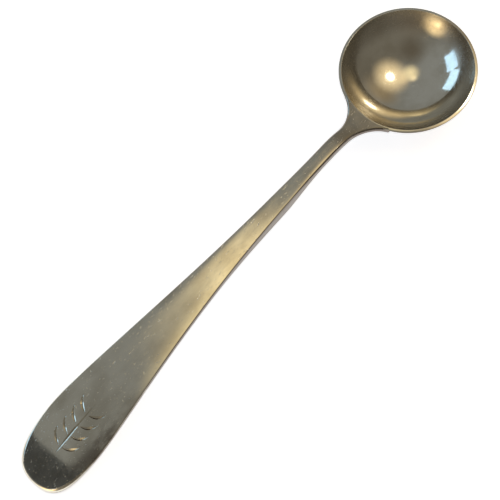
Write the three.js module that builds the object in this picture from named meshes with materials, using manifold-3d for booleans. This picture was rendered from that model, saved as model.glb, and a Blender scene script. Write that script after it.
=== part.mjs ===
// A round-bowled salt spoon in silver: a raised bowl, a forged stem whose shoulders and heel
// saddle the bowl, and the film of solder that joins the two.
// Millimetres. +X runs along the spoon towards the bowl and +Z is up. The spoon lies as it does
// on a table, on the foot of its bowl and the end of its handle, with the table at z = 0.

import * as THREE from 'three';
import { mergeVertices } from 'three/addons/utils/BufferGeometryUtils.js';
import { LoftGeometry } from 'three/addons/geometries/LoftGeometry.js';
import Module from 'manifold-3d';

const wasm = await Module();
wasm.setup();

// Whole spoon
const overallLength = 97.7;
const rimHeight = 7; // above the table

// Bowl
const bowlDiameter = 22;
const lipThickness = 0.6;
const lipRise = 0.25; // from the top of the outer wall to the crest of the lip
const lipSlope = THREE.MathUtils.degToRad(15); // how the lip's top falls outwards
const floorThickness = 0.9;
const footDiameter = 3; // the flat that use wears under the bowl

// Handle, seen from above
const handleWidth = 11.15; // at its widest, near the end
const endRoundLength = 9.5; // from the very end to the widest place
const endRoundSpread = 4.4; // pull of the end curve across the handle
const endRoundRun = 6.5; // pull of the end curve along the handle
const flankRun = 7.4; // how long the sides hold their width
const neckWidth = 2.36;
const neckTaperRun = 28.5; // how long the sides take to straighten into the neck
const neckToRim = 9.5; // from the narrowest place to the rim
const shoulderRadius = 6; // hollow between the neck and the rim

// Handle, seen from the side
const endThickness = 1.1;
const bladeThickness = 1.1;
const neckThickness = 3;
const neckSwellRun = 33; // over which the blade thickens to the neck
const endDropAngle = THREE.MathUtils.degToRad(20);
const endDropRun = 9; // length of the turned-down end
const crestRise = 1.67; // highest line of the neck above the rim
const crestToRim = 8;
const crestRun = 45; // how long the arch takes to level out
const rimSweepRun = 3.6; // softness of the dip from the neck to the rim
const rootDepth = 4; // where the underside meets the heel, below the rim
const rootSweepRun = 4;

// Handle, across its section
const bladeCrown = 0.16; // rise of the middle of the top face
const crownPower = 4; // flat in the middle, rolling off towards the edges
const bladeBelly = 0.3; // rounding of the back
const ovalRun = 10; // over which the flat blade turns into the rounded neck
const neckCrown = 0.03;
const neckWall = 0.4;
const neckBevelWidth = 0.26;
const neckBevelDrop = 0.3;
const shoulderWall = 0.4;
const endBevelWidth = 0.42;
const endBevelDrop = 0.5;
const endBevelRun = 14;
const sideBevelWidth = 0.1;
const sideBevelDrop = 0.08;

// Heel, the tongue that laps under the bowl
const heelLength = 5.4; // in from the rim
const heelWidth = 5.2;
const heelThickness = 0.3;
const heelTaper = 0.35; // how much thicker it is towards the rim

// Solder joint
const solderFilm = 0.2;
const solderClearance = 0.08;

// Facets
const bowlSegments = 72;
const arcSteps = 12;
const outlineSteps = 84;
const curveSteps = 60;
const topSpread = [1, 0.85, 0.5, 0];
const bellySpread = [0, 0.5, 0.8, 0.95, 1];

// Places worked out from the sizes above
const bowlRadius = bowlDiameter / 2;
const footRadius = footDiameter / 2;
const handleHalf = handleWidth / 2;
const neckHalf = neckWidth / 2;
const wallTop = rimHeight - lipRise;
const endX = -overallLength / 2;
const bowlX = overallLength / 2 - bowlRadius;
const rimX = bowlX - bowlRadius;
const neckX = rimX - neckToRim;
const crestX = rimX - crestToRim;
const crestZ = rimHeight + crestRise;
const saddleGap = solderClearance + solderFilm + solderClearance;

// Centre height of the arc about the bowl's axis that runs from (r1, z1) to (r2, z2)
function arcCentre(r1, z1, r2, z2) {
  return (r2 ** 2 + z2 ** 2 - r1 ** 2 - z1 ** 2) / (2 * (z2 - z1));
}

const outerCentre = arcCentre(footRadius, 0, bowlRadius, wallTop);
const outerRadius = Math.hypot(footRadius, outerCentre);
const heelGrowth = saddleGap + heelThickness;
const heelRadius = outerRadius + heelGrowth;
const heelX = bowlX - heelTaper;
const rootZ = rimHeight - rootDepth;
const rootX = heelX - Math.sqrt(heelRadius ** 2 - (outerCentre - rootZ) ** 2);

// Height of a sampled line, drawn in x and z, at a given x
function heightAt(line, x) {
  let i = 1;
  while (i < line.length - 1 && line[i].x < x) {
    i += 1;
  }
  return THREE.MathUtils.mapLinear(x, line[i - 1].x, line[i].x, line[i - 1].y, line[i].y);
}

// A profile of radius and height turned about the bowl's axis
function turned(profile) {
  const geometry = new THREE.LatheGeometry(profile, bowlSegments);
  geometry.rotateX(Math.PI / 2);
  geometry.translate(bowlX, 0, 0);
  return geometry;
}

// A closed geometry as a solid for joining and cutting
function toSolid(geometry) {
  const bare = new THREE.BufferGeometry();
  bare.setAttribute('position', geometry.attributes.position);
  bare.setIndex(geometry.index);
  const merged = mergeVertices(bare);
  const index = merged.index.array;
  const triangles = [];
  for (let i = 0; i < index.length; i += 3) {
    const [a, b, c] = [index[i], index[i + 1], index[i + 2]];
    if (a !== b && b !== c && c !== a) {
      triangles.push(a, b, c);
    }
  }
  const mesh = new wasm.Mesh({
    numProp: 3,
    vertProperties: merged.attributes.position.array,
    triVerts: new Uint32Array(triangles),
  });
  return new wasm.Manifold(mesh);
}

// A solid back as a geometry
function toGeometry(solid) {
  const mesh = solid.getMesh();
  const geometry = new THREE.BufferGeometry();
  geometry.setAttribute('position', new THREE.BufferAttribute(mesh.vertProperties, 3));
  geometry.setIndex(new THREE.BufferAttribute(mesh.triVerts, 1));
  geometry.computeVertexNormals();
  return geometry;
}

// Bowl: a spherical cap with a lip filed to fall outwards, a floor thicker than the lip,
// and a small flat foot
function bowlGeometry() {
  const innerCentre = arcCentre(0, floorThickness, bowlRadius - lipThickness, wallTop);
  const innerRadius = innerCentre - floorThickness;
  const crestRadius = Math.sqrt(innerRadius ** 2 - (innerCentre - rimHeight) ** 2);
  const lipFall = (bowlRadius - crestRadius) * Math.tan(lipSlope);
  const outerStart = Math.atan2(-outerCentre, footRadius);
  const outerEnd = Math.atan2(wallTop - outerCentre, bowlRadius);
  const innerStart = Math.atan2(rimHeight - innerCentre, crestRadius);
  const foot = new THREE.Vector2(0, 0);
  const outer = new THREE.EllipseCurve(0, outerCentre, outerRadius, outerRadius, outerStart, outerEnd);
  const lipEdge = new THREE.Vector2(bowlRadius, rimHeight - lipFall);
  const inner = new THREE.EllipseCurve(
    0, innerCentre, innerRadius, innerRadius, innerStart, -Math.PI / 2, true,
  );
  const innerPoints = inner.getPoints(arcSteps);
  innerPoints[arcSteps].x = 0;
  return turned([foot, ...outer.getPoints(arcSteps), lipEdge, ...innerPoints]);
}

// The bowl's outer form, filled in and grown outwards, with straight walls above the lip
function filledBowl(growth, top) {
  const radius = outerRadius + growth;
  const start = -Math.PI / 2;
  const end = Math.asin((wallTop - outerCentre) / radius);
  const arc = new THREE.EllipseCurve(0, outerCentre, radius, radius, start, end).getPoints(arcSteps);
  arc[0].x = 0;
  const wall = arc[arcSteps].x;
  return toSolid(turned([...arc, new THREE.Vector2(wall, top), new THREE.Vector2(0, top)]));
}

// Half of the stem's outline from above, from the handle's end to inside the bowl
function halfOutline() {
  const wideX = endX + endRoundLength;
  const filletY = neckHalf + shoulderRadius;
  const filletX = bowlX - Math.sqrt((bowlRadius + shoulderRadius) ** 2 - filletY ** 2);
  const touch = Math.atan2(-filletY, bowlX - filletX);
  const outline = new THREE.Path();
  outline.moveTo(endX, 0);
  outline.bezierCurveTo(endX, endRoundSpread, wideX - endRoundRun, handleHalf, wideX, handleHalf);
  outline.bezierCurveTo(wideX + flankRun, handleHalf, neckX - neckTaperRun, neckHalf, neckX, neckHalf);
  outline.lineTo(filletX, neckHalf);
  outline.absarc(filletX, filletY, shoulderRadius, -Math.PI / 2, touch);
  const root = filletY + shoulderRadius * Math.sin(touch);
  outline.lineTo(rootX, root);
  return { points: outline.getSpacedPoints(outlineSteps), filletX };
}

// The stem's top line: up from the turned-down end, over the neck and down to the rim
function topLine() {
  const line = new THREE.Path();
  line.moveTo(endX, endThickness);
  line.bezierCurveTo(
    endX + endDropRun * Math.cos(endDropAngle),
    endThickness + endDropRun * Math.sin(endDropAngle),
    crestX - crestRun, crestZ, crestX, crestZ,
  );
  line.bezierCurveTo(crestX + rimSweepRun, crestZ, rimX - rimSweepRun, rimHeight, rimX, rimHeight);
  line.lineTo(rootX, rimHeight);
  return line.getPoints(curveSteps);
}

// The stem's underside: a thickness below the top line, then swept down into the heel's curve
function bottomLine(top) {
  const swellX = neckX - neckSwellRun;
  const middleX = (swellX + neckX) / 2;
  const thickness = new THREE.Path();
  thickness.moveTo(endX, endThickness);
  thickness.lineTo(swellX, bladeThickness);
  thickness.bezierCurveTo(middleX, bladeThickness, middleX, neckThickness, neckX, neckThickness);
  const line = thickness.getSpacedPoints(curveSteps).map(
    (p) => new THREE.Vector2(p.x, heightAt(top, p.x) - p.y),
  );
  const neckZ = heightAt(top, neckX) - neckThickness;
  const alongHeel = new THREE.Vector2(outerCentre - rootZ, rootX - heelX).normalize();
  const root = new THREE.Path();
  root.moveTo(neckX, neckZ);
  root.bezierCurveTo(
    neckX + rootSweepRun, neckZ,
    rootX - rootSweepRun * alongHeel.x, rootZ - rootSweepRun * alongHeel.y,
    rootX, rootZ,
  );
  return [...line, ...root.getPoints(curveSteps).slice(1)];
}

// The stem's blank: rings round the outline, from the middle of the back, out over the belly,
// up the side wall, over the bevelled edge and across the crowned top to the middle again
function stemLoft() {
  const { points, filletX } = halfOutline();
  const top = topLine();
  const bottom = bottomLine(top);
  const { lerp, smoothstep } = THREE.MathUtils;

  function section(x, halfWidth) {
    const plain = smoothstep(x, endX, endX + endBevelRun);
    const toNeck = smoothstep(x, neckX - ovalRun, neckX);
    const toShoulder = smoothstep(x, filletX, rimX);
    const mix = (end, side, neck, shoulder) => (
      lerp(lerp(lerp(end, side, plain), neck, toNeck), shoulder, toShoulder)
    );
    const topZ = heightAt(top, x);
    const bottomZ = heightAt(bottom, x);
    const across = (halfWidth / handleHalf) ** 2;
    const inset = mix(endBevelWidth, sideBevelWidth, neckBevelWidth, sideBevelWidth);
    const drop = mix(endBevelDrop, sideBevelDrop, neckBevelDrop, sideBevelDrop);
    const crown = mix(bladeCrown * across, bladeCrown * across, neckCrown, lipRise);
    const wall = lerp(neckWall, shoulderWall, toShoulder);
    const hang = topZ - bottomZ - crown - drop - wall;
    const belly = lerp(bladeBelly * across, hang, toNeck);
    return { topZ, bottomZ, inset, drop, crown, belly };
  }

  const half = points.map((point, i) => {
    const before = points[Math.max(i - 1, 0)];
    const after = points[Math.min(i + 1, outlineSteps)];
    const along = i === 0 ? new THREE.Vector2(0, 1) : after.clone().sub(before).normalize();
    const inward = new THREE.Vector2(along.y, -along.x);
    const atWall = section(point.x, point.y);
    const edge = point.clone().addScaledVector(inward, atWall.inset);
    const atEdge = section(edge.x, point.y);
    const column = [];
    for (const share of bellySpread) {
      const z = atWall.bottomZ + atWall.belly * (1 - Math.sqrt(1 - share ** 2));
      column.push(new THREE.Vector3(point.x, share * point.y, z));
    }
    column.push(new THREE.Vector3(point.x, point.y, atWall.topZ - atWall.crown - atWall.drop));
    for (const share of topSpread) {
      const z = atEdge.topZ - atEdge.crown * share ** crownPower;
      column.push(new THREE.Vector3(edge.x, share * edge.y, z));
    }
    return column;
  });

  const mirror = new THREE.Vector3(1, -1, 1);
  const rings = half[0].map((_, row) => {
    const left = half.map((column) => column[row]);
    const right = left.map((point) => point.clone().multiply(mirror));
    return [...right, ...left.slice(1).reverse()];
  });
  return new LoftGeometry(rings);
}

// The heel: a tongue with a rounded end, as thick as a shell that thins away from the rim
function heelSolid() {
  const tongue = new THREE.Shape();
  tongue.absellipse(rimX, 0, heelLength, heelWidth / 2, -Math.PI / 2, Math.PI / 2);
  const reach = new THREE.ExtrudeGeometry(tongue, {
    depth: rimHeight, bevelEnabled: false, curveSegments: arcSteps,
  });
  const shell = filledBowl(heelGrowth, wallTop).translate([-heelTaper, 0, 0]);
  return toSolid(reach).intersect(shell);
}

const blank = toSolid(stemLoft()).add(heelSolid());
const overStem = crestZ + bowlRadius;
const stemSolid = blank.subtract(filledBowl(saddleGap, overStem));
const seamSolid = blank
  .intersect(filledBowl(solderClearance + solderFilm, overStem))
  .subtract(filledBowl(solderClearance, overStem));

const silver = { metalness: 1, roughness: 0.2 };
const bowl = new THREE.Mesh(
  bowlGeometry(),
  new THREE.MeshStandardMaterial({ color: 0xb8b09c, ...silver }),
);
bowl.name = 'bowl';
const stem = new THREE.Mesh(
  toGeometry(stemSolid),
  new THREE.MeshStandardMaterial({ color: 0xb4ad9a, ...silver }),
);
stem.name = 'stem';
const solderSeam = new THREE.Mesh(
  toGeometry(seamSolid),
  new THREE.MeshStandardMaterial({ color: 0xc4bb9f, metalness: 1, roughness: 0.3 }),
);
solderSeam.name = 'solder_seam';

const spoon = new THREE.Group();
spoon.add(bowl, stem, solderSeam);

export default spoon;
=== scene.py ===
# Silver salt spoon: the looks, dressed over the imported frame
# Meshes are made in millimetres and brought to metres when they are finished

import math

import bmesh
import bpy
import numpy as np
from mathutils import Matrix, Vector, noise
from mathutils.geometry import interpolate_bezier


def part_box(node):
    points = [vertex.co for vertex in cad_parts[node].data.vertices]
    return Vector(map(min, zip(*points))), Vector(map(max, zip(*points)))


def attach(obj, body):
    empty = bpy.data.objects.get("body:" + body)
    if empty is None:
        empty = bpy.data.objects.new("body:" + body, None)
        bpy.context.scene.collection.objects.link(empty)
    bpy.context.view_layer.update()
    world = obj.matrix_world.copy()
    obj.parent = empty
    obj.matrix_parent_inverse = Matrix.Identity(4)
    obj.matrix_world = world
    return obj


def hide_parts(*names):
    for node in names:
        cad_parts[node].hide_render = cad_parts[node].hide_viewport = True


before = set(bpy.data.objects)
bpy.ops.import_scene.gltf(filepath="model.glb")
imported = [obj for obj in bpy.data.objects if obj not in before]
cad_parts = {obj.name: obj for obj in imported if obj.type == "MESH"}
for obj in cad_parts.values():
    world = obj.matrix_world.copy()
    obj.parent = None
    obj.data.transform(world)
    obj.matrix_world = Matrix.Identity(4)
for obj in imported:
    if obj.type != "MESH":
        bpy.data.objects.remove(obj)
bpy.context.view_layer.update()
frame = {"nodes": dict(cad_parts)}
mm = 0.001
scene = bpy.context.scene
scene.view_settings.view_transform = "Standard"

bowlLow, bowlHigh = [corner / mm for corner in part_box("bowl")]
stemLow, stemHigh = [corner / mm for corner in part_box("stem")]
bowlX = (bowlLow.x + bowlHigh.x) / 2
bowlRadius = (bowlHigh.x - bowlLow.x) / 2
rimHeight = bowlHigh.z
rimX = bowlLow.x
sharpAngle = 40  # degrees, from which an edge isn't shaded smooth
weld = 1e-4  # points closer than this are one
axisWeld = 1e-5
print("frame loaded:", ", ".join(frame["nodes"]))


# Small helpers

def mix(a, b, share):
    return a + (b - a) * share


def ease(x, start, end):
    t = min(max((x - start) / (end - start), 0), 1)
    return t * t * (3 - 2 * t)


def linear(hexColour):
    channels = [int(hexColour[i:i + 2], 16) / 255 for i in (1, 3, 5)]
    return [c / 12.92 if c <= 0.04045 else ((c + 0.055) / 1.055) ** 2.4 for c in channels] + [1]


def meshObject(name, bm):
    mesh = bpy.data.meshes.new(name)
    bm.to_mesh(mesh)
    bm.free()
    piece = bpy.data.objects.new(name, mesh)
    scene.collection.objects.link(piece)
    return piece


# Joins or cuts one mesh with another, and leaves only the result
def forge(piece, tool, operation):
    modifier = piece.modifiers.new("forge", "BOOLEAN")
    modifier.operation = operation
    modifier.solver = "MANIFOLD"
    modifier.object = tool
    shaped = bpy.data.meshes.new_from_object(piece.evaluated_get(bpy.context.evaluated_depsgraph_get()))
    piece.modifiers.clear()
    piece.data = shaped
    bpy.data.objects.remove(tool)


# Brings a piece from millimetres to metres, gives it its finish and its body, and hides the frame's parts
# that it stands for
def finishPiece(piece, material, slot, *nodes):
    piece.data.transform(Matrix.Scale(mm, 4))
    piece.data.shade_smooth()
    piece.data.set_sharp_from_angle(angle=math.radians(sharpAngle))
    piece.data.materials.clear()
    piece.data.materials.append(material)
    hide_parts(*nodes)
    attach(piece, "root")
    print(piece.name, len(piece.data.polygons), "faces")


# Camera

cameraSet = {
    "lens": 100.8,
    "place": (-40.45, -62.95, 208.7),
    "lookDown": 70.11,  # degrees below level
    "turn": -32.75,
    "roll": -15.46,
}


def addCamera():
    camera = bpy.data.objects.new("camera", bpy.data.cameras.new("camera"))
    scene.collection.objects.link(camera)
    camera.data.lens = cameraSet["lens"]
    camera.data.clip_start = 1 * mm
    turn = Matrix.Rotation(math.radians(cameraSet["turn"]), 4, "Z")
    tilt = Matrix.Rotation(math.radians(90 - cameraSet["lookDown"]), 4, "X")
    roll = Matrix.Rotation(math.radians(cameraSet["roll"]), 4, "Z")
    place = Matrix.Translation(Vector(cameraSet["place"]) * mm)
    camera.matrix_world = place @ turn @ tilt @ roll
    scene.camera = camera


addCamera()


# Materials

# Settings are inputs or properties of the node, and links are sockets or plain values
def addNode(tree, kind, settings=None, **links):
    node = tree.nodes.new(kind)
    for name, value in (settings or {}).items():
        if name in node.inputs:
            node.inputs[name].default_value = value
        else:
            setattr(node, name, value)
    for name, value in links.items():
        socket = node.inputs[int(name[2:])] if name.startswith("in") else node.inputs[name]
        if isinstance(value, bpy.types.NodeSocket):
            tree.links.new(value, socket)
        else:
            socket.default_value = value
    return node


def newMaterial(name):
    material = bpy.data.materials.new(name)
    material.use_nodes = True
    tree = material.node_tree
    tree.nodes.clear()
    shader = addNode(tree, "ShaderNodeBsdfPrincipled")
    addNode(tree, "ShaderNodeOutputMaterial", in0=shader.outputs["BSDF"])
    return material, tree, shader


# Share from 0 to 1 that follows a noise with this size in millimetres, stretched along a turned X axis
def cloud(tree, size, low, high, turn=0, stretch=1, detail=2):
    where = addNode(tree, "ShaderNodeTexCoord")
    laid = addNode(tree, "ShaderNodeMapping", {
        "vector_type": "TEXTURE", "Rotation": (0, 0, math.radians(turn)),
        "Scale": (size * stretch * mm, size * mm, size * mm)}, Vector=where.outputs["Object"])
    grain = addNode(tree, "ShaderNodeTexNoise", {"Scale": 1, "Detail": detail}, Vector=laid.outputs[0])
    share = addNode(tree, "ShaderNodeMapRange", {
        "interpolation_type": "SMOOTHSTEP", "From Min": low, "From Max": high}, Value=grain.outputs[0])
    return share.outputs[0]


# Silver and its solder, polished by hand long ago. The polish gives the eye sharp reflections, the hair
# scratches of use spread a soft sheen round the bright ones, and the marks passed in lay a brown colour:
# real tarnish, and painted shade
def wornSterling(name, look, *tarnishAndShadeMarks):
    material, tree, shader = newMaterial(name)
    shader.inputs["Metallic"].default_value = 1
    place = addNode(tree, "ShaderNodeTexCoord").outputs["Object"]
    place = addNode(tree, "ShaderNodeVectorMath", {"operation": "SCALE", "Scale": 1 / mm}, in0=place)
    place = addNode(tree, "ShaderNodeSeparateXYZ", in0=place.outputs[0])
    facing = addNode(tree, "ShaderNodeNewGeometry").outputs["Normal"]
    facing = addNode(tree, "ShaderNodeSeparateXYZ", in0=facing)
    # share of the brown colour, real tarnish and painted shade, the most that any mark passed in gives
    tarnishAndShade = 0
    for tarnishAndShadeMark in tarnishAndShadeMarks:
        share = cloud(tree, **tarnishAndShadeMark["cloud"])
        for along, (start, end) in tarnishAndShadeMark["ramps"]:
            measure = facing.outputs["Z"] if along == "up" else place.outputs[along]
            ramp = addNode(tree, "ShaderNodeMapRange", {
                "interpolation_type": "SMOOTHSTEP", "From Min": start, "From Max": end}, Value=measure)
            share = addNode(tree, "ShaderNodeMath", {"operation": "MULTIPLY"},
                            in0=share, in1=ramp.outputs[0]).outputs[0]
        share = addNode(tree, "ShaderNodeMath", {"operation": "MULTIPLY"}, in0=share, in1=tarnishAndShadeMark["share"])
        tarnishAndShade = addNode(tree, "ShaderNodeMath", {"operation": "MAXIMUM"},
                          in0=share.outputs[0], in1=tarnishAndShade).outputs[0]
    scratches = 0
    for layer in look["scratches"]:
        scratches = addNode(tree, "ShaderNodeMath", {"operation": "MAXIMUM"},
                            in0=cloud(tree, **layer), in1=scratches).outputs[0]

    smoke = addNode(tree, "ShaderNodeMix", {"data_type": "RGBA"}, in0=cloud(tree, **look["smoke"]),
                    in6=linear(look["silver"]), in7=linear(look["dull"]))
    bright = addNode(tree, "ShaderNodeMix", {"data_type": "RGBA"}, in0=scratches,
                     in6=smoke.outputs[2], in7=linear(look["fresh"]))
    colour = addNode(tree, "ShaderNodeMix", {"data_type": "RGBA"}, in0=tarnishAndShade,
                     in6=bright.outputs[2], in7=linear(look["tarnishAndShade"]))
    tree.links.new(colour.outputs[2], shader.inputs["Base Color"])

    thin, thick = look["polish"]
    rough = addNode(tree, "ShaderNodeMapRange", {"To Min": thin, "To Max": thick},
                    Value=cloud(tree, **look["haze"]))
    for marks, amount in ((scratches, look["scratchRoughness"]), (tarnishAndShade, look["tarnishAndShadeRoughness"])):
        rough = addNode(tree, "ShaderNodeMath", {"operation": "MULTIPLY_ADD"},
                        in0=marks, in1=amount, in2=rough.outputs[0])
    tree.links.new(rough.outputs[0], shader.inputs["Roughness"])

    bump = addNode(tree, "ShaderNodeBump", {"Distance": look["scratchDepth"] * mm, "invert": True},
                   Height=scratches)
    tree.links.new(bump.outputs[0], shader.inputs["Normal"])
    return material


# Bowl

bowlSet = {
    "lipThickness": 0.6,
    "lipRise": 0.25,  # from the top of the outer wall to the crest of the lip
    "lipSlope": 15,  # degrees that the lip's top falls outwards
    "lipEdge": 0.06,  # radius of its two edges
    "floorThickness": 0.9,
    "footDiameter": 3,
    "waveSize": 5,  # length and height of the unevenness that the hammer left
    "waveHeight": 0.008,
    "wallSteps": 64,
    "lipSteps": 8,
    "turnSteps": 192,
    "look": {
        "silver": "#e6e3da",
        "dull": "#d5d0c4",
        "fresh": "#f2f0ea",
        # colour of the painted shade on the walls, the underside and inside towards the lip
        "tarnishAndShade": "#8d8478",
        "smoke": {"size": 4, "low": 0.35, "high": 0.7, "detail": 4},
        "haze": {"size": 0.5, "low": 0.3, "high": 0.75, "detail": 5},
        "polish": (0.06, 0.13),  # roughness where the haze is thin and thick
        "scratches": [
            {"size": 0.07, "low": 0.67, "high": 0.75, "turn": 35, "stretch": 18},
            {"size": 0.07, "low": 0.68, "high": 0.76, "turn": -20, "stretch": 22},
            {"size": 0.07, "low": 0.69, "high": 0.76, "turn": 80, "stretch": 14},
        ],
        "scratchRoughness": 0.1,
        "scratchDepth": 0.0015,
        "tarnishAndShadeRoughness": 0.3,
    },
}
# Painted shade, in the brown tarnish colour. Ramps run from none to all of it, in millimetres, or by how
# far a face looks up
# painted shade: faces that look sideways or down, the walls and undersides, take the brown colour, mottled
# by a noise
paintedWallShade = {
    "cloud": {"size": 3, "low": 0, "high": 0.4, "detail": 3},
    "ramps": [("up", (0.4, 0.1))],
    "share": 1,
}
paintedRimShade = {  # painted shade inside the bowl, darker towards the lip
    "cloud": {"size": 3, "low": 0, "high": 0.45, "detail": 3},
    "ramps": [("Z", (3.6, 5.4)), ("up", (0.92, 0.8))],
    "share": 0.5,
}
wallTop = rimHeight - bowlSet["lipRise"]
footRadius = bowlSet["footDiameter"] / 2


# Centre height of the arc about the bowl's axis that runs from (r1, z1) to (r2, z2)
def arcCentre(r1, z1, r2, z2):
    return (r2 ** 2 + z2 ** 2 - r1 ** 2 - z1 ** 2) / (2 * (z2 - z1))


outerCentre = arcCentre(footRadius, 0, bowlRadius, wallTop)
outerRadius = math.hypot(footRadius, outerCentre)


# Draws an arc in the section's plane by spinning its first point, and gives back its last point
def spinPoint(bm, point, centre, angle, steps):
    made = bmesh.ops.spin(bm, geom=[point], cent=centre, axis=(0, 1, 0), angle=angle, steps=steps)
    return [v for v in made["geom_last"] if isinstance(v, bmesh.types.BMVert)][0]


def extrudePoint(bm, point, place):
    made = bmesh.ops.extrude_vert_indiv(bm, verts=[point])["verts"][0]
    made.co = place
    return made


# Turns the section about the bowl's axis and puts it in its place
def turnSection(bm, steps):
    bmesh.ops.spin(bm, geom=bm.verts[:] + bm.edges[:], cent=(0, 0, 0), axis=(0, 0, 1),
                   angle=math.tau, steps=steps, use_merge=True)
    bmesh.ops.remove_doubles(bm, verts=bm.verts[:], dist=axisWeld)
    bmesh.ops.recalc_face_normals(bm, faces=bm.faces[:])
    bmesh.ops.translate(bm, verts=bm.verts[:], vec=(bowlX, 0, 0))


# Uneven as hammered metal is, by a soft noise
def planish(bm, waveSize, waveHeight):
    for v in bm.verts:
        v.co.z += waveHeight * noise.noise(v.co / waveSize)


def raiseBowl():
    s = bowlSet
    innerCentre = arcCentre(0, s["floorThickness"], bowlRadius - s["lipThickness"], wallTop)
    innerRadius = innerCentre - s["floorThickness"]
    outerAngle = math.asin(bowlRadius / outerRadius) - math.asin(footRadius / outerRadius)
    edge = s["lipEdge"]
    slope = math.radians(s["lipSlope"])
    innerAngle = math.acos((innerCentre - rimHeight + edge) / (innerRadius + edge))
    crest = Vector(((innerRadius + edge) * math.sin(innerAngle), 0, rimHeight - edge))
    lipRun = bowlRadius - edge - crest.x
    outside = crest + Vector((lipRun, 0, -lipRun * math.tan(slope)))
    across = Vector((math.sin(slope), 0, math.cos(slope)))
    bm = bmesh.new()
    axis = bm.verts.new((0, 0, 0))
    last = extrudePoint(bm, axis, (footRadius, 0, 0))
    last = spinPoint(bm, last, (0, 0, outerCentre), -outerAngle, s["wallSteps"])
    last = extrudePoint(bm, last, outside + Vector((edge, 0, 0)))
    last = spinPoint(bm, last, outside, slope - math.pi / 2, s["lipSteps"])
    last = extrudePoint(bm, last, crest + edge * across)
    last = spinPoint(bm, last, crest, -slope - innerAngle, s["lipSteps"])
    spinPoint(bm, last, (0, 0, innerCentre), innerAngle, s["wallSteps"])
    turnSection(bm, s["turnSteps"])
    planish(bm, s["waveSize"], s["waveHeight"])
    return meshObject("raised_bowl", bm)


# The bowl's outer form filled in up to a height, smaller by an inset, with straight walls near the lip
def bowlFilling(inset, lipInset, height):
    radius = outerRadius - inset
    wall = bowlRadius - lipInset
    bm = bmesh.new()
    bottom = bm.verts.new((0, 0, outerCentre - radius))
    last = spinPoint(bm, bottom, (0, 0, outerCentre), -math.asin(wall / radius), bowlSet["wallSteps"])
    above = extrudePoint(bm, last, (wall, 0, height))
    extrudePoint(bm, above, (0, 0, height))
    turnSection(bm, bowlSet["turnSteps"])
    return meshObject("bowl_filling", bm)


# Stem

stemSet = {
    "handleWidth": 11.15,
    "endRoundLength": 9.5,
    "endRoundSpread": 4.4,
    "endRoundRun": 6.5,
    "flankRun": 7.4,
    "neckWidth": 2.36,
    "neckTaperRun": 28.5,
    "neckToRim": 9.5,
    "shoulderRadius": 6,
    "shoulderSink": 0.02,  # how far the shoulders' ends sink into the lip
    "endThickness": 1.1,
    "bladeThickness": 1.1,
    "neckThickness": 3,
    "neckSwellRun": 33,
    "endDropAngle": 20,
    "endDropRun": 9,
    "crestToRim": 8,
    "crestRun": 45,
    "rimSweepRun": 3.6,
    "rootDepth": 4,
    "rootSink": 0.15,  # how far the underside ends inside the wall of the bowl
    "rootSweepRun": 4,
    "bladeCrown": 0.16,
    "crownPower": 4,  # how flat the crown is in its middle
    "bladeBelly": 0.3,
    "ovalRun": 10,
    "neckCrown": 0.03,
    "neckEdge": (0.26, 0.3),  # width and drop of the rounding along an edge
    "sideEdge": (0.12, 0.1),
    "endEdge": (0.42, 0.5),
    "endEdgeRun": 14,
    "edgeFullness": 1.3,  # 1 is a flat bevel and 2 is a round
    "shoulderWall": 0.4,
    "heelLength": 5.4,
    "heelWidth": 5.2,
    "heelThickness": 0.75,
    "heelSegments": (96, 48),
    "saddleSink": 0.25,  # how far the saddle reaches into the wall of the bowl
    "lipSink": 0.35,
    "waveSize": 7,
    "waveHeight": 0.006,
    "endSteps": 60,
    "flankSteps": 260,
    "neckSteps": 16,
    "shoulderSteps": 40,
    "bellyRows": 14,
    "wallRows": 3,
    "edgeRows": 6,
    "topRows": 40,
    "look": {
        "silver": "#e4e0d4",
        "dull": "#ccc6b8",
        "fresh": "#f4f1ea",
        # colour of the tarnish along the right edge of the broad end, of the painted shade on the walls and
        # edges, and of the darkening towards the bowl
        "tarnishAndShade": "#776e66",
        "smoke": {"size": 4, "low": 0.35, "high": 0.7, "stretch": 1.6, "detail": 4},
        "haze": {"size": 0.4, "low": 0.3, "high": 0.75, "stretch": 3, "detail": 5},
        "polish": (0.06, 0.13),
        "scratches": [
            {"size": 0.22, "low": 0.69, "high": 0.75, "turn": 12, "stretch": 9},
            {"size": 0.24, "low": 0.7, "high": 0.76, "turn": -16, "stretch": 8},
            {"size": 0.2, "low": 0.72, "high": 0.78, "turn": 62, "stretch": 7},
            {"size": 0.3, "low": 0.77, "high": 0.83, "turn": 30, "stretch": 1.8},
            {"size": 0.09, "low": 0.69, "high": 0.77, "turn": -5, "stretch": 14},
        ],
        "scratchRoughness": 0.24,
        "scratchDepth": 0.006,
        "tarnishAndShadeRoughness": 0.16,
    },
}
endX = stemLow.x
handleHalf = stemSet["handleWidth"] / 2
neckHalf = stemSet["neckWidth"] / 2
neckX = rimX - stemSet["neckToRim"]
crestX = rimX - stemSet["crestToRim"]
crestZ = stemHigh.z
rootRadius = outerRadius - stemSet["rootSink"]
rootZ = rimHeight - stemSet["rootDepth"]
rootX = bowlX - math.sqrt(rootRadius ** 2 - (outerCentre - rootZ) ** 2)
fineSteps = 3000
paintedNeckEdgeShade = {  # painted shade along the edges, but not round the end
    "cloud": {"size": 3, "low": 0, "high": 0.4, "detail": 3},
    "ramps": [("up", (0.92, 0.72)), ("X", (endX + 14, endX + 30))],
    "share": 1,
}
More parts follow.
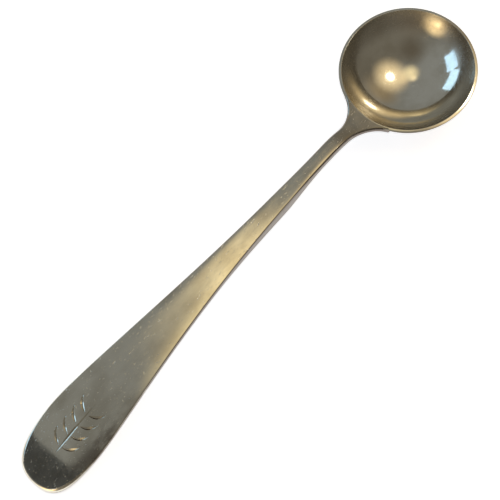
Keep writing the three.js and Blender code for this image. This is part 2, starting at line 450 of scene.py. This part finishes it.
# the stem darker towards the bowl, mottled by a noise, at half strength
darkerTowardsBowl = {
    "cloud": {"size": 3, "low": 0, "high": 0.5, "detail": 3},
    "ramps": [("X", (neckX - 6, rimX - 3))],
    "share": 0.5,
}
edgeStain = {  # along the right edge of the broad end
    "cloud": {"size": 1.6, "low": 0.3, "high": 0.62, "stretch": 2, "detail": 4},
    "ramps": [("Y", (-2, -4.6)), ("X", (endX + 22, endX + 12)), ("X", (endX + 3, endX + 6))],
    "share": 0.75,
}


def bezier(steps, *points):
    first, second, third, last = [Vector(p).to_3d() for p in points]
    return interpolate_bezier(first, second, third, last, steps + 1)


# Half of the outline from above, from the handle's end to inside the bowl
def stemOutline():
    s = stemSet
    wideX = endX + s["endRoundLength"]
    rim = bowlRadius - s["shoulderSink"]
    filletY = neckHalf + s["shoulderRadius"]
    filletX = bowlX - math.sqrt((rim + s["shoulderRadius"]) ** 2 - filletY ** 2)
    touch = math.atan2(filletY, bowlX - filletX)
    points = bezier(s["endSteps"], (endX, 0), (endX, s["endRoundSpread"]),
                    (wideX - s["endRoundRun"], handleHalf), (wideX, handleHalf))
    points += bezier(s["flankSteps"], (wideX, handleHalf), (wideX + s["flankRun"], handleHalf),
                     (neckX - s["neckTaperRun"], neckHalf), (neckX, neckHalf))[1:]
    for i in range(1, s["neckSteps"] + 1):
        points.append(Vector((mix(neckX, filletX, i / s["neckSteps"]), neckHalf, 0)))
    for i in range(1, s["shoulderSteps"] + 1):
        angle = mix(math.pi / 2, touch, i / s["shoulderSteps"])
        arc = Vector((math.cos(angle), -math.sin(angle), 0)) * s["shoulderRadius"]
        points.append(Vector((filletX, filletY, 0)) + arc)
    last = points[-1]
    for i in range(1, s["neckSteps"] + 1):
        points.append(Vector((mix(last.x, rootX, i / s["neckSteps"]), last.y, 0)))
    return points, filletX


# Heights along the stem: the arched top line, and the underside that sweeps into the heel
def stemLines():
    s = stemSet
    drop = math.radians(s["endDropAngle"])
    top = bezier(fineSteps, (endX, s["endThickness"]),
                 (endX + s["endDropRun"] * math.cos(drop),
                  s["endThickness"] + s["endDropRun"] * math.sin(drop)),
                 (crestX - s["crestRun"], crestZ), (crestX, crestZ))
    top += bezier(fineSteps, (crestX, crestZ), (crestX + s["rimSweepRun"], crestZ),
                  (rimX - s["rimSweepRun"], rimHeight), (rimX, rimHeight))[1:]
    top.append(Vector((rootX, rimHeight, 0)))
    topX = np.array([p.x for p in top])
    topZ = np.array([p.y for p in top])
    swellX = neckX - s["neckSwellRun"]
    middleX = (swellX + neckX) / 2
    swell = bezier(fineSteps, (swellX, s["bladeThickness"]), (middleX, s["bladeThickness"]),
                   (middleX, s["neckThickness"]), (neckX, s["neckThickness"]))
    along = np.linspace(endX, neckX, fineSteps)
    thickness = np.interp(along, [endX] + [p.x for p in swell], [s["endThickness"]] + [p.y for p in swell])
    bottom = list(zip(along, np.interp(along, topX, topZ) - thickness))
    neckZ = bottom[-1][1]
    alongHeel = Vector((outerCentre - rootZ, rootX - bowlX)).normalized() * s["rootSweepRun"]
    root = bezier(fineSteps, (neckX, neckZ),
                  (neckX + s["rootSweepRun"], neckZ),
                  (rootX - alongHeel.x, rootZ - alongHeel.y), (rootX, rootZ))
    bottom += [(p.x, p.y) for p in root[1:]]
    bottomX = np.array([x for x, z in bottom])
    bottomZ = np.array([z for x, z in bottom])
    return (lambda x: np.interp(x, topX, topZ)), (lambda x: np.interp(x, bottomX, bottomZ))


topAt, bottomAt = stemLines()


# Rows of one side of the stem: out over the back, up the wall, round the edge and over the top
def stemRows():
    s = stemSet
    rows = [("belly", math.sin(math.pi / 2 * i / s["bellyRows"])) for i in range(s["bellyRows"] + 1)]
    rows += [("wall", i / s["wallRows"]) for i in range(1, s["wallRows"] + 1)]
    rows += [("edge", math.pi / 2 * i / s["edgeRows"]) for i in range(1, s["edgeRows"] + 1)]
    rows += [("top", 1 - i / s["topRows"]) for i in range(1, s["topRows"] + 1)]
    return rows


def drawStem():
    s = stemSet
    outline, filletX = stemOutline()
    rows = stemRows()

    def section(x, halfWidth):
        plain = ease(x, endX, endX + s["endEdgeRun"])
        toNeck = ease(x, neckX - s["ovalRun"], neckX)
        toShoulder = ease(x, filletX, rimX)
        lipEdge = (bowlSet["lipThickness"] / 2, bowlSet["lipRise"])
        inset, drop = [mix(mix(mix(s["endEdge"][k], s["sideEdge"][k], plain), s["neckEdge"][k], toNeck),
                           lipEdge[k], toShoulder) for k in (0, 1)]
        across = (halfWidth / handleHalf) ** 2
        crown = mix(mix(s["bladeCrown"] * across, s["neckCrown"], toNeck), 0, toShoulder)
        top, bottom = topAt(x), bottomAt(x)
        hang = top - bottom - crown - drop - s["shoulderWall"]
        belly = mix(s["bladeBelly"] * across, hang, toNeck)
        return top, bottom, inset, drop, crown, belly

    def place(i, row):
        point = outline[i]
        along = outline[min(i + 1, len(outline) - 1)] - outline[max(i - 1, 0)]
        along = Vector((0, 1, 0)) if i == 0 else along.normalized()
        inward = Vector((along.y, -along.x, 0))
        top, bottom, inset, drop, crown, belly = section(point.x, point.y)
        kind, value = row
        wallLow, wallHigh = bottom + belly, top - crown - drop
        if kind == "belly":
            return Vector((point.x, value * point.y, bottom + belly * (1 - math.sqrt(1 - value ** 2))))
        if kind == "wall":
            return Vector((point.x, point.y, mix(wallLow, wallHigh, value)))
        if kind == "edge":
            power = 2 / s["edgeFullness"]
            spot = point + inward * inset * (1 - abs(math.cos(value)) ** power)
            return Vector((spot.x, spot.y, wallHigh + drop * math.sin(value) ** power))
        edge = point + inward * inset
        top, bottom, inset, drop, crown, belly = section(edge.x, point.y)
        return Vector((edge.x, value * edge.y, top - crown * value ** s["crownPower"]))

    bm = bmesh.new()
    bmesh.ops.create_grid(bm, x_segments=len(outline) - 1, y_segments=len(rows) - 1, size=0.5)
    for v in bm.verts:
        i = round((v.co.x + 0.5) * (len(outline) - 1))
        j = round((v.co.y + 0.5) * (len(rows) - 1))
        v.co = place(i, rows[j])
    bmesh.ops.mirror(bm, geom=bm.verts[:] + bm.edges[:] + bm.faces[:], axis="Y", merge_dist=weld)
    bmesh.ops.remove_doubles(bm, verts=bm.verts[:], dist=weld)
    bmesh.ops.holes_fill(bm, edges=[e for e in bm.edges if e.is_boundary])
    bmesh.ops.recalc_face_normals(bm, faces=bm.faces[:])
    planish(bm, s["waveSize"], s["waveHeight"])
    return meshObject("forged_stem", bm)


# The heel: a flattened drop of metal bent round the underside of the bowl
def drawHeel():
    s = stemSet
    rootAngle = math.asin((bowlX - rootX) / rootRadius)
    endAngle = math.asin((bowlRadius - s["heelLength"]) / outerRadius)
    bm = bmesh.new()
    around, along = s["heelSegments"]
    bmesh.ops.create_uvsphere(bm, u_segments=around, v_segments=along, radius=1)
    reach = (rootAngle - endAngle) * outerRadius
    bmesh.ops.scale(bm, vec=(reach, s["heelWidth"] / 2, s["heelThickness"]), verts=bm.verts[:])
    for v in bm.verts:
        down = rootAngle - v.co.x / outerRadius
        side = v.co.y / outerRadius
        away = Vector((-math.sin(down) * math.cos(side), math.sin(side),
                       -math.cos(down) * math.cos(side)))
        v.co = Vector((bowlX, 0, outerCentre)) + away * (outerRadius + v.co.z)
    bmesh.ops.recalc_face_normals(bm, faces=bm.faces[:])
    return meshObject("heel", bm)


# A plain leafy sprig, cut into the broad end with tapering strokes
sprigSet = {
    "start": 5.6,  # from the end of the handle
    "length": 9.4,
    "stalkWidth": 0.36,
    "leafPairs": 4,
    "firstLeaf": 0.6,  # where the first pair stands, in steps from one pair to the next
    "leafLength": 3.1,
    "leafTurn": 48,  # degrees from the stalk
    "leafCurl": 30,
    "leafWidth": 0.66,
    "steepness": 0.62,  # depth of a cut for half of its width
    "taper": 0.8,  # below 1 a stroke is widest before its middle
    "steps": 28,
}


def strokeCutter(path, width):
    steps = len(path) - 1
    corners = 4
    bm = bmesh.new()
    bmesh.ops.create_grid(bm, x_segments=steps, y_segments=corners, size=0.5)
    for v in bm.verts:
        i = round((v.co.x + 0.5) * steps)
        turn = math.tau * round((v.co.y + 0.5) * corners) / corners
        along = path[min(i + 1, steps)] - path[max(i - 1, 0)]
        half = width / 2 * math.sin(math.pi * (i / steps) ** sprigSet["taper"])
        spot = path[i] + Vector((-along.y, along.x, 0)).normalized() * half * math.cos(turn)
        v.co = Vector((spot.x, spot.y, topAt(path[i].x) + half * sprigSet["steepness"] * math.sin(turn)))
    bmesh.ops.remove_doubles(bm, verts=bm.verts[:], dist=weld)
    bmesh.ops.recalc_face_normals(bm, faces=bm.faces[:])
    return meshObject("cutter", bm)


def engraveSprig(stem):
    s = sprigSet
    first, last = endX + s["start"], endX + s["start"] + s["length"]
    spacing = s["length"] / (s["leafPairs"] + s["firstLeaf"])
    leaves = [(first + spacing * (i + s["firstLeaf"]), side)
              for i in range(s["leafPairs"]) for side in (-1, 1)]
    stalk = [Vector((mix(first, last, i / s["steps"]), 0, 0)) for i in range(s["steps"] + 1)]
    forge(stem, strokeCutter(stalk, s["stalkWidth"]), "DIFFERENCE")
    for x, side in leaves:
        turn = math.radians(s["leafTurn"])
        curl = math.radians(s["leafCurl"])
        reach = s["leafLength"] / 3
        root = Vector((x, side * s["stalkWidth"], 0))
        points = [root]
        for bend in (turn + curl, turn, turn - curl):
            points.append(points[-1] + reach * Vector((math.cos(bend), side * math.sin(bend), 0)))
        forge(stem, strokeCutter(bezier(s["steps"], *points), s["leafWidth"]), "DIFFERENCE")


# The solder that shows as a thin bead where the stem meets the bowl. It has set as it ran, with no
# polish, so it looks duller and yellower than the silver beside it
solderSet = {
    "spread": 0.14,  # how far the bead runs out beyond the stem
    "height": 0.05,  # how far it stands above the wall of the bowl
    "depth": 0.1,
    "lipGap": 0.5,
    "look": {
        "silver": "#d8d2c0",
        "dull": "#aaa28e",
        "fresh": "#e4e0d4",
        # colour of the painted shade on the bead's walls
        "tarnishAndShade": "#857b6c",
        "smoke": {"size": 0.9, "low": 0.35, "high": 0.7, "detail": 3},
        "haze": {"size": 0.12, "low": 0.4, "high": 0.66},
        "polish": (0.18, 0.4),
        "scratches": [{"size": 0.07, "low": 0.68, "high": 0.76, "turn": 20, "stretch": 8}],
        "scratchRoughness": 0.1,
        "scratchDepth": 0.002,
        "tarnishAndShadeRoughness": 0.16,
    },
}


def runSolder():
    s = solderSet
    bead, heel = drawStem(), drawHeel()
    for part in (bead, heel):
        swell = part.modifiers.new("swell", "DISPLACE")
        swell.strength = s["spread"]
        swell.mid_level = 0
    forge(bead, heel, "UNION")
    forge(bead, bowlFilling(-s["height"], s["lipGap"], wallTop), "INTERSECT")
    forge(bead, bowlFilling(s["depth"], s["lipGap"] + s["depth"], rimHeight), "DIFFERENCE")
    bead.name = "solder_bead"
    return bead


bowl = raiseBowl()
bowlSilver = wornSterling("raised and hand polished sterling silver", bowlSet["look"], paintedWallShade, paintedRimShade)
finishPiece(bowl, bowlSilver, "bowl_silver", "bowl")
stem = drawStem()
forge(stem, drawHeel(), "UNION")
bead = runSolder()
# the bead takes the painted shade on its walls, as the bowl does
solder = wornSterling("run silver solder", solderSet["look"], paintedWallShade)
finishPiece(bead, solder, "solder", "solder_seam")
saddle = bowlFilling(stemSet["saddleSink"], stemSet["lipSink"], crestZ + bowlRadius)
forge(stem, saddle, "DIFFERENCE")
engraveSprig(stem)
stemSilver = wornSterling("forged and hand polished sterling silver", stemSet["look"],
                          paintedWallShade, paintedNeckEdgeShade, darkerTowardsBowl, edgeStain)
finishPiece(stem, stemSilver, "stem_silver", "stem")


# Floor, room and lamps

roomSet = {
    "floorRadius": 3,  # metres, as are the lamps' distances
    "floorSegments": 96,
    "floorColour": "#f7f7f7",
    "floorGlow": 0.8,  # white that the lamps don't bring
    "floorTint": "#fafbff",  # evens out the warm lamps
    "warmSide": "#746f64",  # the dim room, on the right of the spoon
    "coolSide": "#8a8b87",  # and on its left
    "sideFade": (-0.5, 0.4),  # how far left a direction points where the cool side starts and is full
    "glowFade": 2,  # how soon a light in the room fades away from its middle
}

# Soft lights in the room. Direction runs from +X towards +Y and height from level, in degrees,
# and each light is full and gone at these angles from its middle
glowSet = {
    "far_wall": {
        "direction": -2, "height": 34, "full": 3, "gone": 31, "colour": "#9b8b6f", "strength": 1,
    },
    "pale_wall": {
        "direction": -149, "height": 4, "full": 5, "gone": 45, "colour": "#837a6c", "strength": 1,
    },
    "shade": {
        "direction": -150, "height": 60, "full": 4, "gone": 29, "colour": "#635c50", "strength": 1,
    },
    "ceiling": {
        "direction": -22, "height": 62, "full": 0, "gone": 32, "colour": "#ffe6b6", "strength": 1.3,
    },
    "between": {
        "direction": 8, "height": 75, "full": 0, "gone": 14.5, "colour": "#ffe6b6", "strength": 1,
    },
    "near_ceiling": {
        "direction": 69.6, "height": 75.4, "full": 1, "gone": 7.5, "colour": "#ffebbe", "strength": 1.4,
    },
    "near_core": {
        "direction": 76.4, "height": 83.2, "full": 0, "gone": 16, "colour": "#ffebba", "strength": 1.1,
    },
    "bulb": {
        "direction": -21.6, "height": 61.4, "full": 0.3, "gone": 8, "colour": "#fff4dc", "strength": 8,
    },
    "low_lamp": {
        "direction": 182, "height": 11.7, "full": 2, "gone": 20, "colour": "#ffe2ac", "strength": 3.2,
    },
}

lampSet = {
    "window_left": {
        "direction": 127, "height": 24, "distance": 2, "size": (0.78, 0.66), "turn": 8,
        "colour": "#b0dcff", "radiance": 1.5,
    },
    "window_right": {
        "direction": 101, "height": 19, "distance": 2, "size": (0.9, 0.56), "turn": -6,
        "colour": "#b4e0ff", "radiance": 1.5,
    },
}


# A dark card beside the spoon, which only its reflection shows
cardSet = {
    "place": (-154, 42, 118),
    "size": (120, 110),
    "lean": -16,
    "tilt": 30.6,
    "colour": "#5c636e",
}


def addCard():
    bm = bmesh.new()
    bmesh.ops.create_grid(bm, x_segments=1, y_segments=1, size=0.5)
    card = meshObject("dark_card", bm)
    lean = Matrix.Rotation(math.radians(cardSet["lean"]), 4, "X")
    tilt = Matrix.Rotation(math.radians(cardSet["tilt"]), 4, "Y")
    card.data.transform(lean @ tilt @ Matrix.Diagonal((*cardSet["size"], 1, 1)))
    card.data.transform(Matrix.Scale(mm, 4) @ Matrix.Translation(cardSet["place"]))
    material, tree, shader = newMaterial("matt dark card")
    shader.inputs["Base Color"].default_value = linear(cardSet["colour"])
    shader.inputs["Roughness"].default_value = 1
    card.data.materials.append(material)
    card.visible_camera = False
    card.visible_diffuse = False
    card.visible_shadow = False


def addFloor():
    bm = bmesh.new()
    bmesh.ops.create_circle(bm, cap_ends=True, segments=roomSet["floorSegments"],
                            radius=roomSet["floorRadius"])
    floor = meshObject("floor", bm)
    material, tree, shader = newMaterial("matt white card")
    shader.inputs["Base Color"].default_value = linear(roomSet["floorColour"])
    shader.inputs["Roughness"].default_value = 1
    shader.inputs["Emission Color"].default_value = linear(roomSet["floorTint"])
    path = addNode(tree, "ShaderNodeLightPath")
    seen = addNode(tree, "ShaderNodeMath", {"operation": "ADD"},
                   in0=path.outputs["Is Camera Ray"], in1=path.outputs["Is Glossy Ray"])
    seen = addNode(tree, "ShaderNodeMath", {"operation": "ADD"},
                   in0=seen.outputs[0], in1=path.outputs["Is Transmission Ray"])
    glow = addNode(tree, "ShaderNodeMapRange", {"To Max": roomSet["floorGlow"]}, Value=seen.outputs[0])
    tree.links.new(glow.outputs[0], shader.inputs["Emission Strength"])
    floor.data.materials.append(material)


# Unit vector towards a place in the room
def towards(place):
    turn, rise = math.radians(place["direction"]), math.radians(place["height"])
    return Vector((math.cos(turn) * math.cos(rise), math.sin(turn) * math.cos(rise), math.sin(rise)))


def addRoom():
    world = bpy.data.worlds.new("room")
    scene.world = world
    world.use_nodes = True
    tree = world.node_tree
    where = addNode(tree, "ShaderNodeTexCoord")
    axes = addNode(tree, "ShaderNodeSeparateXYZ", in0=where.outputs["Generated"])
    start, end = roomSet["sideFade"]
    side = addNode(tree, "ShaderNodeMapRange", {
        "interpolation_type": "SMOOTHSTEP", "From Min": start, "From Max": end}, Value=axes.outputs["Y"])
    walls = addNode(tree, "ShaderNodeMix", {"data_type": "RGBA"}, in0=side.outputs[0],
                    in6=linear(roomSet["warmSide"]), in7=linear(roomSet["coolSide"]))
    for glow in glowSet.values():
        near = addNode(tree, "ShaderNodeVectorMath", {"operation": "DOT_PRODUCT"},
                       in0=where.outputs["Generated"], in1=towards(glow))
        share = addNode(tree, "ShaderNodeMapRange", {
            "From Min": math.cos(math.radians(glow["gone"])),
            "From Max": math.cos(math.radians(glow["full"]))}, Value=near.outputs["Value"])
        share = addNode(tree, "ShaderNodeMath", {"operation": "POWER"},
                        in0=share.outputs[0], in1=roomSet["glowFade"])
        light = Vector(linear(glow["colour"])) * glow["strength"]
        walls = addNode(tree, "ShaderNodeMix", {"data_type": "RGBA"}, in0=share.outputs[0],
                        in6=walls.outputs[2], in7=light)
    tree.links.new(walls.outputs[2], tree.nodes["Background"].inputs["Color"])


def addLamp(name, lamp):
    light = bpy.data.lights.new(name, "AREA")
    light.shape = "RECTANGLE"
    light.size, light.size_y = lamp["size"]
    light.color = linear(lamp["colour"])[:3]
    light.energy = lamp["radiance"] * math.pi * light.size * light.size_y
    holder = bpy.data.objects.new(name, light)
    scene.collection.objects.link(holder)
    turn = Matrix.Rotation(math.radians(lamp["direction"] + 90), 4, "Z")
    tilt = Matrix.Rotation(math.radians(90 - lamp["height"]), 4, "X")
    away = Matrix.Translation((0, 0, lamp["distance"]))
    spin = Matrix.Rotation(math.radians(lamp["turn"]), 4, "Z")
    holder.matrix_world = turn @ tilt @ away @ spin
    holder.visible_camera = False


addFloor()
addCard()
addRoom()
for name, lamp in lampSet.items():
    addLamp(name, lamp)
print("floor, room and", len(lampSet), "lamps")
